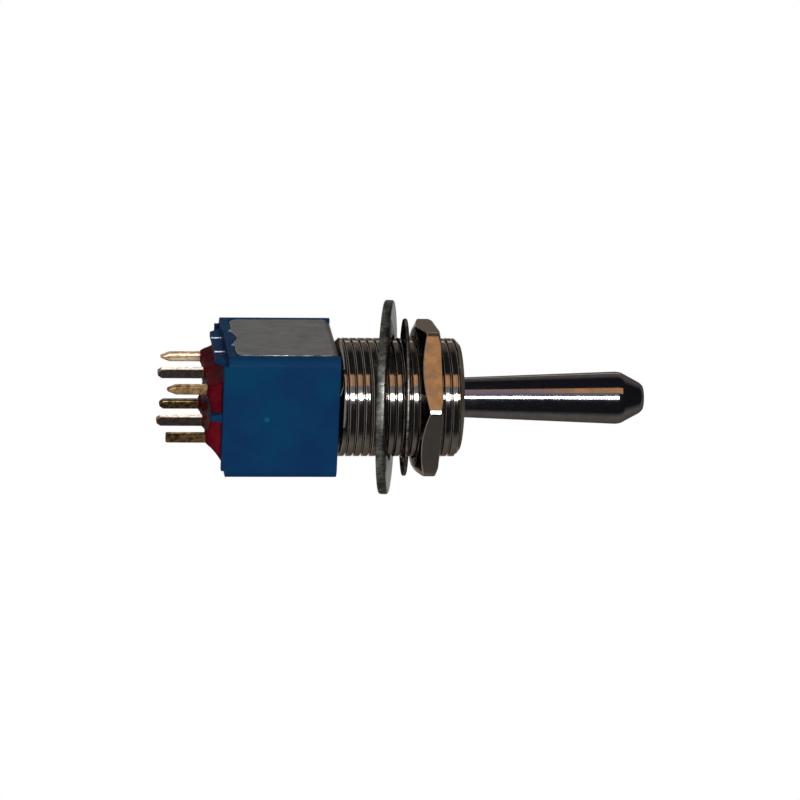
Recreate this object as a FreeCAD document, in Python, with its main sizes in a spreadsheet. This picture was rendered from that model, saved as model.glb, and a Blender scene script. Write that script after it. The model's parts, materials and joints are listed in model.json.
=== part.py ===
# Momentary toggle switch, double pole, centre-off, for a panel hole of 15/32 inch.
# Millimetres. +Z runs along the bushing towards the lever's tip, and z = 0 is the frame's face
# that seats against a panel. X runs across the two poles and Y is the lever's throw.
import FreeCAD, Part
import os
import re
import Sketcher

doc = FreeCAD.newDocument("MomentarySwitch")
V = FreeCAD.Vector

# Driving dimensions: name, value, what it is
dimensions = [
    ("bodyPole", 12.7, "case width across the two poles"),
    ("bodyThrow", 13.1, "case width along the throw"),
    ("bodyDepth", 11.6, "front and rear walls, below the frame's face"),
    ("sideRaise", 0.45, "side walls end this far above the front and rear walls"),
    ("sideDepth", "=bodyDepth - sideRaise", "side walls, below the frame's face"),
    ("cornerRadius", 1.0, "case's upright edges"),
    ("tabInset", 0.9, "from the case's side to the longer part of the end walls"),
    ("sideWall", 0.8, "case wall behind the frame's leg"),
    ("endWall", 1.2, "case wall at each end of the throw"),
    ("floorDepth", 8.0, "chamber floor, below the frame's face"),
    ("floorThickness", 1.1, "floor that holds the terminals"),
    ("partitionThickness", 0.9, "wall between the poles"),
    ("partitionDepth", 5.1, "top of that wall, below the frame's face"),
    ("troughWall", 0.75, "wall round the epoxy"),
    ("finReach", 1.15, "fin between the terminal rows, below the front wall"),
    ("finDepth", "=bodyDepth + finReach", "tip of that fin, below the frame's face"),
    ("finTip", 0.5, "fin thickness at its tip"),
    ("lugWidth", 9.8, "lug on the keyed side"),
    ("lugThickness", 0.8, "lug thickness"),
    ("lugInset", 0.6, "from the case's side to the lug's face"),
    ("lugReach", 0.65, "lug, below the front wall"),
    ("lugDepth", "=bodyDepth + lugReach", "lug's end, below the frame's face"),
    ("lugCorner", 1.0, "chamfer on the lug's corners"),
    ("lugGroove", 0.3, "radius of the two grooves down the lug"),
    ("keySpacing", 4.0, "between the lug's grooves, and between the clinches"),
    ("gateRadius", 0.35, "moulding gate mark on the front wall"),
    ("gateDepth", 0.06, "depth of that mark"),
    ("gateDrop", 7.2, "middle of that mark, below the frame's face"),
    ("frameWidth", 10.5, "frame along the throw"),
    ("frameThickness", 0.55, "frame sheet"),
    ("frameBend", 0.3, "inner radius of the frame's folds"),
    ("legMargin", 0.85, "side wall left below each frame leg"),
    ("legDepth", "=sideDepth - legMargin", "frame legs, below the frame's face"),
    ("legCorner", 1.0, "radius on the legs' corners"),
    ("notchRadius", 1.15, "half-round notch in each leg's end"),
    ("clinchWidth", 0.7, "swaged finger beside the notch"),
    ("clinchReach", 0.45, "swaged finger, below its leg"),
    ("clinchDepth", "=legDepth + clinchReach", "that finger's end, below the frame's face"),
    ("seatRelief", 0.04, "case walls stand this far below the frame's face"),
    ("fitGap", 0.05, "clearance between pieces that are fitted together"),
    ("bushingRadius", 5.95, "over the thread crests"),
    ("bushingLength", 12.6, "above the frame's face"),
    ("bushingChamfer", 0.5, "at the bushing's mouth"),
    ("spigotRadius", 4.3, "through the frame"),
    ("lipRadius", 4.8, "staked lip under the frame"),
    ("lipThickness", 0.5, "staked lip"),
    ("mouthRadius", 4.35, "flared bore at the bushing's mouth"),
    ("throatRadius", 2.25, "bore above the ball"),
    ("throatLength", 0.3, "straight part of that bore"),
    ("pivotHeight", 3.4, "ball centre above the frame's face"),
    ("ballRadius", 2.95, "lever ball"),
    ("ballFoot", 2.4, "radius where the ball's round part ends below"),
    ("runningGap", 0.05, "radial clearance of ball and pin"),
    ("pinRadius", 0.5, "pivot pin"),
    ("pinReach", 3.9, "half the pin's length"),
    ("neckRadius", 1.5, "lever above the ball"),
    ("leverRootRadius", 2.0, "lever where it leaves the bushing"),
    ("leverCrownRadius", 2.65, "lever at its widest"),
    ("leverCrownHeight", 28.65, "height of that widest place"),
    ("crownDrop", 0.08, "radius lost over the crown's soft edge"),
    ("crownEdge", 0.5, "length of that soft edge"),
    ("leverTipRadius", 1.35, "flat of the lever's end"),
    ("leverHeight", 31.4, "lever's tip above the frame's face"),
    ("shankRadius", 1.2, "lever below the ball"),
    ("shankDepth", 3.3, "lever's foot, below the frame's face"),
    ("sealRise", 1.15, "seal above the ball centre"),
    ("sealInner", 1.85, "bore of the square-cut seal"),
    ("sealOuter", 2.6, "outside of the seal"),
    ("sealThickness", 0.75, "seal along the lever"),
    ("polePitch", 5.08, "between the two terminal rows"),
    ("contactPitch", 4.7, "between terminals of one row"),
    ("actuatorWide", 8.6, "actuator across the poles"),
    ("actuatorDeep", 3.0, "actuator along the throw"),
    ("actuatorTop", 1.8, "actuator's top, below the frame's face"),
    ("actuatorEnd", 4.6, "actuator's underside, below the frame's face"),
    ("actuatorEdge", 0.5, "chamfer on the actuator's ends"),
    ("plungerRadius", 0.75, "plunger"),
    ("plungerNose", 0.3, "flat of the plunger's tip"),
    ("plungerTaper", 0.35, "length of the plunger's taper"),
    ("plungerTop", 3.9, "plunger's upper end, below the frame's face"),
    ("plungerTip", 6.6, "plunger's tip, below the frame's face"),
    ("wellTop", 2.15, "top of the plunger's well, below the frame's face"),
    ("springWire", 0.12, "from the middle to the corner of the spring's square wire"),
    ("springPitch", 0.7, "spring's rise in one turn"),
    ("rockerWidth", 2.2, "rocker contact"),
    ("rockerThickness", 0.35, "rocker contact"),
    ("rockerBow", 5.7, "radius of the hollow that the plunger rides in"),
    ("rockerBowHalf", 2.6, "half the length of that hollow"),
    ("rockerReach", 4.75, "half the rocker's length"),
    ("rockerFall", 0.35, "fall of each arm from the hollow to its end"),
    ("rockerGap", 0.02, "plunger to rocker, and rocker to saddle"),
    ("buttonRadius", 0.45, "contact button under each arm"),
    ("buttonReach", 4.15, "that button, from the middle"),
    ("buttonDrop", 0.2, "how far it stands below the arm's end"),
    ("earWidth", 0.7, "saddle's ears, along the throw"),
    ("earThickness", 0.3, "saddle's ears"),
    ("earInset", 0.84, "from the rocker's middle to the ear's inner side"),
    ("earTop", 6.35, "ears' top, below the frame's face"),
    ("earGap", 0.16, "rocker's notch, round the ear"),
    ("saddleThickness", 0.45, "common terminal's saddle"),
    ("contactDepth", 7.45, "outer contact's face, below the frame's face"),
    ("contactThickness", 0.5, "outer contact's foot"),
    ("contactReach", 1.0, "outer contact's foot, from its blade towards the middle"),
    ("outerBlade", 0.75, "outer terminal's blade, along the throw"),
    ("commonBlade", 0.8, "common terminal's blade, along the throw"),
    ("bladeWidth", 0.95, "terminal blades, across the row"),
    ("outerReach", 5.45, "outer terminals' tips, below the front wall"),
    ("outerDepth", "=bodyDepth + outerReach", "those tips, below the frame's face"),
    ("commonReach", 6.05, "common terminals' tips, below the front wall"),
    ("commonDepth", "=bodyDepth + commonReach", "those tips, below the frame's face"),
    ("pointTaper", 0.9, "length of a pointed tip's taper"),
    ("pointTip", 0.25, "flat at a pointed tip"),
    ("bluntTaper", 0.4, "length of a blunt tip's taper"),
    ("bluntTip", 0.4, "flat at a blunt tip"),
    ("squareTaper", 0.12, "length of a square tip's taper"),
    ("squareTip", 0.75, "flat at a square tip"),
    ("ridgeReach", 1.6, "resin ridge along each row, below the front wall"),
    ("ridgeDepth", "=bodyDepth + ridgeReach", "that ridge, below the frame's face"),
    ("ridgeHalf", 0.6, "half the ridge's flat"),
    ("ridgeEndInset", 0.6, "from the wall's inner side to the ridge's end"),
    ("finResinGap", 0.1, "resin at the fin ends this far above the front wall's end"),
    ("finResinDepth", "=bodyDepth - finResinGap", "resin against the fin"),
    ("wallResinRise", 0.05, "resin at the walls, below the side walls' ends"),
    ("wallResinDepth", "=sideDepth + wallResinRise", "resin against the walls"),
    ("meniscusRadius", 3.4, "hollow of the resin's flanks"),
    ("endMeniscusRadius", 1.6, "hollow of the resin's ends"),
    ("washerRadius", 9.75, "panel washer"),
    ("washerBore", 6.2, "panel washer"),
    ("washerThickness", 0.95, "panel washer"),
    ("washerHeight", 5.4, "panel washer's middle, above the frame's face"),
    ("washerTilt", 10.3, "panel washer hangs askew by this angle"),
    ("washerLean", -11, "the way it leans, round from X"),
    ("lockRadius", 7.9, "lock washer"),
    ("lockRing", 6.9, "inner side of the lock washer's ring"),
    ("lockToothTip", 6.12, "tips of its teeth"),
    ("lockThickness", 0.4, "lock washer"),
    ("lockToothWidth", 0.95, "lock washer's teeth"),
    ("lockTwist", 22, "twist of each tooth"),
    ("lockTeeth", 12, "number of teeth"),
    ("lockHeight", 7.2, "lock washer's middle, above the frame's face"),
    ("lockTilt", 4.0, "lock washer hangs askew by this angle"),
    ("lockLean", -16, "the way it leans, round from X"),
    ("nutAcrossFlats", 14.6, "hexagon nut"),
    ("nutThickness", 2.1, "hexagon nut"),
    ("nutHeight", 8.1, "nut's inner face, above the frame's face"),
    ("nutChamferStart", 7.0, "radius where the inner face's corner chamfer starts"),
    ("nutOuterStart", 7.85, "radius where the outer face's chamfer starts"),
    ("nutChamferAngle", 27, "slope of both chamfers"),
    ("nutTurn", 20, "how far the nut is screwed round"),
]

sheet = doc.addObject("Spreadsheet::Sheet", "Dims")
for row, (alias, number, meaning) in enumerate(dimensions, start=1):
    sheet.set(f"A{row}", meaning)
    sheet.set(f"B{row}", str(number))
    sheet.setAlias(f"B{row}", alias)
doc.recompute()

functionNames = {"tan", "cos", "sin", "sqrt", "abs"}


def dims(formula):
    """Write a formula of the sheet's words as an expression."""
    def word(found):
        return found.group() if found.group() in functionNames else "Dims." + found.group()
    return re.sub(r"[A-Za-z]\w*", word, str(formula))


def value(formula):
    return float(sheet.evalExpression(dims(formula)))


def bind(target, **formulas):
    """Tie properties of an object to the sheet."""
    for name, formula in formulas.items():
        target.setExpression(name, dims(formula))


def place(target, x=None, y=None, z=None, tilt=None, lean=0, turn=None):
    """Set a sub-part's Placement from the sheet: a tilt about a level axis, or a turn about Z."""
    if tilt is not None:
        axis = V(value(f"cos({lean})"), value(f"sin({lean})"), 0)
        target.Placement = FreeCAD.Placement(V(), FreeCAD.Rotation(axis, value(tilt)))
    if turn is not None:
        target.Placement = FreeCAD.Placement(V(), FreeCAD.Rotation(V(0, 0, 1), value(turn)))
    if tilt is not None or turn is not None:
        target.setExpression("Placement.Rotation.Angle", dims(turn if tilt is None else tilt))
    for axis, formula in (("x", x), ("y", y), ("z", z)):
        if formula is not None:
            target.setExpression(f"Placement.Base.{axis}", dims(formula))


subParts = []


def newBody(label):
    body = doc.addObject("PartDesign::Body", label)
    body.Label = label
    subParts.append(body)
    return body


def newSketch(body, planeRole, height=None):
    """A sketch on one of the body's origin planes, moved along the plane's normal."""
    sketch = body.newObject("Sketcher::SketchObject", body.Label + "_sketch")
    plane = next(p for p in body.Origin.OriginFeatures if p.Role == planeRole)
    sketch.AttachmentSupport = [(plane, "")]
    sketch.MapMode = "FlatFace"
    if height is not None:
        sketch.setExpression("AttachmentOffset.Base.z", dims(height))
    return sketch


def fixCoordinate(sketch, kind, geometry, point, formula):
    """Tie one coordinate of a sketch point to the sheet. A point with no formula lies on the axis."""
    if formula == 0:
        axis = -2 if kind == "DistanceX" else -1
        sketch.addConstraint(Sketcher.Constraint("PointOnObject", geometry, point, axis))
        return
    index = sketch.addConstraint(Sketcher.Constraint(kind, -1, 1, geometry, point, value(formula)))
    sketch.setExpression(f"Constraints[{index}]", dims(formula))


def arcThrough(start, end, radius):
    """The short arc from start to end. A positive radius has its centre on the left."""
    chord = end - start
    toCentre = V(-chord.y, chord.x, 0).normalize() * (radius / abs(radius))
    depth = (radius ** 2 - (chord.Length / 2) ** 2) ** 0.5
    centre = start + chord / 2 + toCentre * depth
    angles = [(p - centre).getAngle(V(1, 0, 0)) * (1 if p.y >= centre.y else -1) for p in (start, end)]
    if radius < 0:
        angles.reverse()
    circle = Part.Circle(centre, V(0, 0, 1), abs(radius))
    return Part.ArcOfCircle(circle, angles[0], angles[1])


def outline(sketch, corners):
    """A closed outline. Each corner is x, y and, where an arc leaves it, the arc's signed radius."""
    first = sketch.GeometryCount
    points = [V(value(c[0]), value(c[1]), 0) for c in corners]
    ends = []
    for index, corner in enumerate(corners):
        start, end = points[index], points[(index + 1) % len(points)]
        if len(corner) == 2:
            sketch.addGeometry(Part.LineSegment(start, end), False)
            ends.append((1, 2))
        else:
            sketch.addGeometry(arcThrough(start, end, value(corner[2])), False)
            ends.append((1, 2) if value(corner[2]) > 0 else (2, 1))
    for index, corner in enumerate(corners):
        after = (index + 1) % len(corners)
        sketch.addConstraint(Sketcher.Constraint(
            "Coincident", first + index, ends[index][1], first + after, ends[after][0]))
        fixCoordinate(sketch, "DistanceX", first + index, ends[index][0], corner[0])
        fixCoordinate(sketch, "DistanceY", first + index, ends[index][0], corner[1])
        if len(corner) == 3:
            radius = sketch.addConstraint(
                Sketcher.Constraint("Radius", first + index, abs(value(corner[2]))))
            sketch.setExpression(f"Constraints[{radius}]", dims(f"abs({corner[2]})"))


def rectangle(sketch, left, right, low, high):
    outline(sketch, [(left, low), (right, low), (right, high), (left, high)])


def centredRectangle(sketch, width, height):
    rectangle(sketch, f"-({width}) / 2", f"({width}) / 2", f"-({height}) / 2", f"({height}) / 2")


def circle(sketch, x, y, radius):
    index = sketch.addGeometry(Part.Circle(V(value(x), value(y), 0), V(0, 0, 1), value(radius)), False)
    fixCoordinate(sketch, "DistanceX", index, 3, x)
    fixCoordinate(sketch, "DistanceY", index, 3, y)
    size = sketch.addConstraint(Sketcher.Constraint("Radius", index, value(radius)))
    sketch.setExpression(f"Constraints[{size}]", dims(radius))


def feature(body, kind, sketch, length=None, midplane=False, reverse=False):
    """A pad or pocket of a sketch. A pocket with no length goes through everything."""
    made = body.newObject("PartDesign::" + kind, f"{body.Label}_{kind.lower()}")
    made.Profile = sketch
    made.Midplane = midplane
    made.Reversed = reverse
    if length is None:
        made.Type = "ThroughAll"
    else:
        made.setExpression("Length", dims(length))
    sketch.Visibility = False
    doc.recompute()
    checkVolume(body, made, kind)
    return made


def checkVolume(body, made, kind):
    """A pocket or groove that points away from the solid cuts nothing and shows no error."""
    before = made.BaseFeature
    if before is None:
        return
    change = made.Shape.Volume - before.Shape.Volume
    adds = kind in ("Pad", "Revolution")
    if (adds and change <= 0) or (not adds and change >= 0):
        raise RuntimeError(f"{made.Name} of {body.Label} changes nothing")


def revolve(body, kind, sketch):
    """Turn a sketch on the XZ plane about Z."""
    made = body.newObject("PartDesign::" + kind, f"{body.Label}_{kind.lower()}")
    made.Profile = sketch
    made.ReferenceAxis = (sketch, ["V_Axis"])
    made.Angle = 360
    sketch.Visibility = False
    doc.recompute()
    checkVolume(body, made, kind)
    return made


def upright(edge):
    direction = edge.tangentAt(edge.FirstParameter)
    return edge.Curve.TypeId == "Part::GeomLine" and abs(direction.z) > 0.999


def dressEdges(body, kind, size, wanted):
    """Fillet or chamfer the edges of the body's tip that wanted() picks."""
    base = body.Tip
    names = [f"Edge{i}" for i, edge in enumerate(base.Shape.Edges, start=1) if wanted(edge)]
    made = body.newObject("PartDesign::" + kind, f"{body.Label}_{kind.lower()}")
    made.Base = (base, names)
    made.setExpression("Radius" if kind == "Fillet" else "Size", dims(size))
    doc.recompute()
    return made


# Housing

chamberX = "(bodyPole / 2 - frameThickness - sideWall)"
chamberY = "(bodyThrow / 2 - endWall)"
troughX = "(bodyPole / 2 - troughWall)"
troughY = "(bodyThrow / 2 - troughWall)"
troughDepth = "(floorDepth + floorThickness)"
finHalf = "partitionThickness / 2"
bladeSizes = {"outer": "outerBlade", "common": "commonBlade"}
sides = {"left": -1, "right": 1}
columns = {"front": -1, "common": 0, "rear": 1}


def bladeOutlines(sketch):
    """The six terminal blades in plan."""
    for side in sides.values():
        for column, step in columns.items():
            deep = bladeSizes["common" if column == "common" else "outer"]
            middleX, middleY = f"{side} * polePitch / 2", f"{step} * contactPitch"
            rectangle(sketch, f"{middleX} - bladeWidth / 2", f"{middleX} + bladeWidth / 2",
                      f"{middleY} - {deep} / 2", f"{middleY} + {deep} / 2")


def makeHousing():
    body = newBody("housing")
    block = newSketch(body, "XY_Plane", "-seatRelief")
    centredRectangle(block, "bodyPole", "bodyThrow")
    feature(body, "Pad", block, "bodyDepth - seatRelief", reverse=True)
    dressEdges(body, "Fillet", "cornerRadius", upright)

    ends = newSketch(body, "XY_Plane", "-bodyDepth")
    for side in sides.values():
        inner, outer = f"{side} * (bodyPole / 2 - tabInset)", f"{side} * bodyPole"
        low, high = (inner, outer) if side > 0 else (outer, inner)
        rectangle(ends, low, high, "-bodyThrow", "bodyThrow")
    feature(body, "Pocket", ends, "bodyDepth - sideDepth", reverse=True)

    seat = newSketch(body, "XY_Plane", "-seatRelief")
    centredRectangle(seat, "2 * bodyPole", "frameWidth + 2 * fitGap")
    feature(body, "Pocket", seat, "frameThickness + fitGap - seatRelief")

    def shoulder(edge):
        middle = edge.CenterOfMass
        return (abs(edge.tangentAt(edge.FirstParameter).y) > 0.999
                and abs(abs(middle.x) - value("bodyPole / 2 - frameThickness - fitGap")) < 0.01
                and abs(middle.z + value("frameThickness + fitGap")) < 0.01)

    legs = newSketch(body, "XY_Plane", "-seatRelief")
    for side in sides.values():
        inner, outer = f"{side} * (bodyPole / 2 - frameThickness - fitGap)", f"{side} * bodyPole"
        low, high = (inner, outer) if side > 0 else (outer, inner)
        rectangle(legs, low, high, "-frameWidth / 2 - fitGap", "frameWidth / 2 + fitGap")
    feature(body, "Pocket", legs, "legDepth + fitGap - seatRelief")
    dressEdges(body, "Fillet", "frameBend", shoulder)

    plugs = newSketch(body, "YZ_Plane")
    radius = "(notchRadius - fitGap)"
    outline(plugs, [
        (f"-{radius}", "-legDepth - 2 * fitGap"),
        (radius, "-legDepth - 2 * fitGap"),
        (radius, "-legDepth", radius),
        (0, f"-legDepth + {radius}", radius),
        (f"-{radius}", "-legDepth"),
    ])
    feature(body, "Pad", plugs, "bodyPole", midplane=True)

    clinches = newSketch(body, "XY_Plane", "-clinchDepth - fitGap")
    for side in sides.values():
        for step in (-1, 1):
            inner, outer = f"{side} * {troughX}", f"{side} * bodyPole"
            low, high = (inner, outer) if side > 0 else (outer, inner)
            rectangle(clinches, low, high,
                      f"{step} * keySpacing / 2 - clinchWidth / 2 - fitGap",
                      f"{step} * keySpacing / 2 + clinchWidth / 2 + fitGap")
    feature(body, "Pocket", clinches, "clinchDepth - legDepth + fitGap", reverse=True)

    upper = newSketch(body, "XY_Plane", "-seatRelief")
    centredRectangle(upper, f"2 * {chamberX}", f"2 * {chamberY}")
    feature(body, "Pocket", upper, "partitionDepth - seatRelief")

    lower = newSketch(body, "XY_Plane", "-seatRelief")
    rectangle(lower, finHalf, chamberX, f"-{chamberY}", chamberY)
    rectangle(lower, f"-{chamberX}", f"-{finHalf}", f"-{chamberY}", chamberY)
    feature(body, "Pocket", lower, "floorDepth - seatRelief")

    trough = newSketch(body, "XY_Plane", "-bodyDepth")
    centredRectangle(trough, f"2 * {troughX}", f"2 * {troughY}")
    feature(body, "Pocket", trough, f"bodyDepth - {troughDepth}", reverse=True)

    fin = newSketch(body, "XZ_Plane")
    outline(fin, [
        (finHalf, f"-{troughDepth}"),
        (f"-{finHalf}", f"-{troughDepth}"),
        (f"-{finHalf}", "-bodyDepth"),
        ("-finTip / 2", "-finDepth"),
        ("finTip / 2", "-finDepth"),
        (finHalf, "-bodyDepth"),
    ])
    feature(body, "Pad", fin, "bodyThrow - troughWall", midplane=True)

    lug = newSketch(body, "YZ_Plane", "-bodyPole / 2 + lugInset")
    half = "lugWidth / 2"
    outline(lug, [
        (half, f"-{troughDepth}"),
        (f"-{half}", f"-{troughDepth}"),
        (f"-{half}", "-lugDepth + lugCorner"),
        (f"-{half} + lugCorner", "-lugDepth"),
        (f"{half} - lugCorner", "-lugDepth"),
        (half, "-lugDepth + lugCorner"),
    ])
    feature(body, "Pad", lug, "lugThickness")

    grooves = newSketch(body, "XY_Plane", "-lugDepth")
    for step in (-1, 1):
        circle(grooves, "-bodyPole / 2 + lugInset", f"{step} * keySpacing / 2", "lugGroove")
    feature(body, "Pocket", grooves, "lugDepth - sideDepth", reverse=True)

    slots = newSketch(body, "XY_Plane", f"-{troughDepth}")
    bladeOutlines(slots)
    feature(body, "Pocket", slots, "floorThickness", reverse=True)

    gate = newSketch(body, "XZ_Plane", "bodyThrow / 2")
    circle(gate, 0, "-gateDrop", "gateRadius")
    feature(body, "Pocket", gate, "gateDepth")


# Frame: one strip of sheet folded over the case

def makeFrame():
    body = newBody("frame")
    outerX, innerX = "bodyPole / 2", "(bodyPole / 2 - frameThickness)"
    outerBend, innerBend = "(frameBend + frameThickness)", "frameBend"
    profile = newSketch(body, "XZ_Plane")
    outline(profile, [
        (f"-{outerX}", "-legDepth"),
        (f"-{innerX}", "-legDepth"),
        (f"-{innerX}", f"-frameThickness - {innerBend}", f"-{innerBend}"),
        (f"-{innerX} + {innerBend}", "-frameThickness"),
        (f"{innerX} - {innerBend}", "-frameThickness", f"-{innerBend}"),
        (innerX, f"-frameThickness - {innerBend}"),
        (innerX, "-legDepth"),
        (outerX, "-legDepth"),
        (outerX, f"-{outerBend}", outerBend),
        (f"{outerX} - {outerBend}", 0),
        (f"-{outerX} + {outerBend}", 0, outerBend),
        (f"-{outerX}", f"-{outerBend}"),
    ])
    feature(body, "Pad", profile, "frameWidth", midplane=True)

    hole = newSketch(body, "XY_Plane")
    circle(hole, 0, 0, "spigotRadius + fitGap / 2")
    feature(body, "Pocket", hole)

    def legCorner(edge):
        middle = edge.CenterOfMass
        flat = abs(edge.tangentAt(edge.FirstParameter).x) > 0.999
        return flat and abs(middle.z + value("legDepth")) < 0.01
    dressEdges(body, "Fillet", "legCorner", legCorner)

    fingers = newSketch(body, "XZ_Plane")
    for side in sides.values():
        near, far = f"{side} * ({troughX} + fitGap)", f"{side} * bodyPole / 2"
        bent = f"{side} * (bodyPole / 2 - frameThickness)"
        outline(fingers, [
            (bent, "-legDepth"),
            (near, "-clinchDepth"),
            (f"{far} - {side} * frameThickness / 2", "-clinchDepth"),
            (far, "-legDepth"),
        ][::side])
    feature(body, "Pad", fingers, "keySpacing + clinchWidth", midplane=True)

    between = newSketch(body, "YZ_Plane")
    inner = "(keySpacing - clinchWidth) / 2"
    radius = "notchRadius"
    outline(between, [
        (f"-{inner}", "-clinchDepth - fitGap"),
        (inner, "-clinchDepth - fitGap"),
        (inner, "-legDepth"),
        (radius, "-legDepth", radius),
        (0, f"-legDepth + {radius}", radius),
        (f"-{radius}", "-legDepth"),
        (f"-{inner}", "-legDepth"),
    ])
    feature(body, "Pocket", between, midplane=True)


# Bushing: turned, with a 45 degree seat for the ball and two slots for the pivot pin

def makeBushing():
    body = newBody("bushing")
    socket = "(ballRadius + runningGap)"
    seatFoot = f"(pivotHeight + {socket} * (sqrt(2) - 1))"
    seatTop = f"(pivotHeight + {socket} * sqrt(2) - throatRadius)"
    lipEnd = "(frameThickness + fitGap / 2)"
    profile = newSketch(body, "XZ_Plane")
    outline(profile, [
        (socket, f"-{lipEnd} - lipThickness"),
        ("lipRadius", f"-{lipEnd} - lipThickness"),
        ("lipRadius", f"-{lipEnd}"),
        ("spigotRadius", f"-{lipEnd}"),
        ("spigotRadius", 0),
        ("bushingRadius", 0),
        ("bushingRadius", "bushingLength - bushingChamfer"),
        ("bushingRadius - bushingChamfer", "bushingLength"),
        ("mouthRadius", "bushingLength"),
        ("throatRadius", f"{seatTop} + throatLength"),
        ("throatRadius", seatTop),
        (socket, seatFoot),
    ])
    revolve(body, "Revolution", profile)

    slots = newSketch(body, "YZ_Plane")
    half = "(pinRadius + runningGap)"
    outline(slots, [
        (f"-{half}", "-bushingLength"),
        (half, "-bushingLength"),
        (half, "pivotHeight", half),
        (0, f"pivotHeight + {half}", half),
        (f"-{half}", "pivotHeight"),
    ])
    feature(body, "Pocket", slots, "2 * (pinReach + 2 * runningGap)", midplane=True)


# Lever, its pivot pin and its seal

def makeLever():
    body = newBody("lever")
    shankTop = "(pivotHeight - sqrt(ballRadius * ballRadius - shankRadius * shankRadius))"
    roundFoot = "(pivotHeight - sqrt(ballRadius * ballRadius - ballFoot * ballFoot))"
    grooveFoot = "(pivotHeight + sealRise - sealThickness / 2)"
    grooveTop = "(pivotHeight + sealRise + sealThickness / 2)"
    below = "(sealRise - sealThickness / 2)"
    above = "(sealRise + sealThickness / 2)"
    collar = f"sqrt(ballRadius * ballRadius - {above} * {above})"
    neckFoot = f"({grooveTop} + {collar} - neckRadius)"
    profile = newSketch(body, "XZ_Plane")
    outline(profile, [
        (0, "-shankDepth"),
        ("shankRadius", "-shankDepth"),
        ("shankRadius", shankTop),
        ("ballFoot", roundFoot, "ballRadius"),
        (f"sqrt(ballRadius * ballRadius - {below} * {below})", grooveFoot),
        ("sealInner", grooveFoot),
        ("sealInner", grooveTop),
        (collar, grooveTop),
        ("neckRadius", neckFoot),
        ("neckRadius", f"{neckFoot} + throatLength"),
        ("leverRootRadius", "bushingLength"),
        ("leverCrownRadius", "leverCrownHeight"),
        ("leverCrownRadius - crownDrop", "leverCrownHeight + crownEdge"),
        ("leverTipRadius", "leverHeight"),
        (0, "leverHeight"),
    ])
    revolve(body, "Revolution", profile)

    bore = newSketch(body, "YZ_Plane")
    circle(bore, 0, "pivotHeight", "pinRadius")
    feature(body, "Pocket", bore, midplane=True)


def makePivotPin():
    pin = doc.addObject("Part::Cylinder", "lever_pivot_pin")
    bind(pin, Radius="pinRadius", Height="2 * pinReach")
    pin.Placement = FreeCAD.Placement(V(), FreeCAD.Rotation(V(0, 1, 0), 90))
    place(pin, x="-pinReach", z="pivotHeight")
    subParts.append(pin)


def makeLeverSeal():
    body = newBody("lever_seal")
    profile = newSketch(body, "XZ_Plane")
    rectangle(profile, "sealInner", "sealOuter", "-sealThickness / 2", "sealThickness / 2")
    revolve(body, "Revolution", profile)
    place(body, z="pivotHeight + sealRise")


# Actuator, plungers and springs

def makeActuator():
    body = newBody("actuator")
    block = newSketch(body, "XY_Plane", "-actuatorTop")
    centredRectangle(block, "actuatorWide", "actuatorDeep")
    feature(body, "Pad", block, "actuatorEnd - actuatorTop", reverse=True)
    dressEdges(body, "Chamfer", "actuatorEdge", upright)

    socket = newSketch(body, "XY_Plane", "-actuatorTop")
    circle(socket, 0, 0, "shankRadius")
    feature(body, "Pocket", socket, "shankDepth - actuatorTop")

    wells = newSketch(body, "XY_Plane", "-actuatorEnd")
    for side in sides.values():
        circle(wells, f"{side} * polePitch / 2", 0, "plungerRadius + runningGap")
    feature(body, "Pocket", wells, "actuatorEnd - wellTop", reverse=True)


def makePlunger(sideName, side):
    body = newBody(f"plunger_{sideName}")
    profile = newSketch(body, "XZ_Plane")
    outline(profile, [
        (0, "-plungerTip"),
        ("plungerNose", "-plungerTip"),
        ("plungerRadius", "-plungerTip + plungerTaper"),
        ("plungerRadius", "-plungerTop"),
        (0, "-plungerTop"),
    ])
    revolve(body, "Revolution", profile)
    place(body, x=f"{side} * polePitch / 2")


def makeSpring(sideName, side):
    """A coil that fills the well above its plunger."""
    coil = "(plungerRadius - springWire - runningGap)"
    helix = doc.addObject("Part::Helix", f"plunger_spring_{sideName}_path")
    bind(helix, Radius=coil, Pitch="springPitch",
         Height="plungerTop - wellTop - 2 * springWire - 2 * rockerGap")
    section = doc.addObject("Part::RegularPolygon", f"plunger_spring_{sideName}_section")
    section.Polygon = 4
    bind(section, Circumradius="springWire")
    section.Placement = FreeCAD.Placement(V(), FreeCAD.Rotation(V(1, 0, 0), 90))
    place(section, x=coil)
    spring = doc.addObject("Part::Sweep", f"plunger_spring_{sideName}")
    doc.recompute()
    spring.Sections = [section]
    spring.Spine = (helix, [f"Edge{i}" for i in range(1, len(helix.Shape.Edges) + 1)])
    spring.Solid = True
    spring.Frenet = True
    place(spring, x=f"{side} * polePitch / 2", z="-plungerTop + springWire + rockerGap")
    subParts.append(spring)


# Rocker contacts: the most demanding form, a bowed strip that tips on its saddle

rockerTop = "(plungerTip + rockerGap)"


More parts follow.
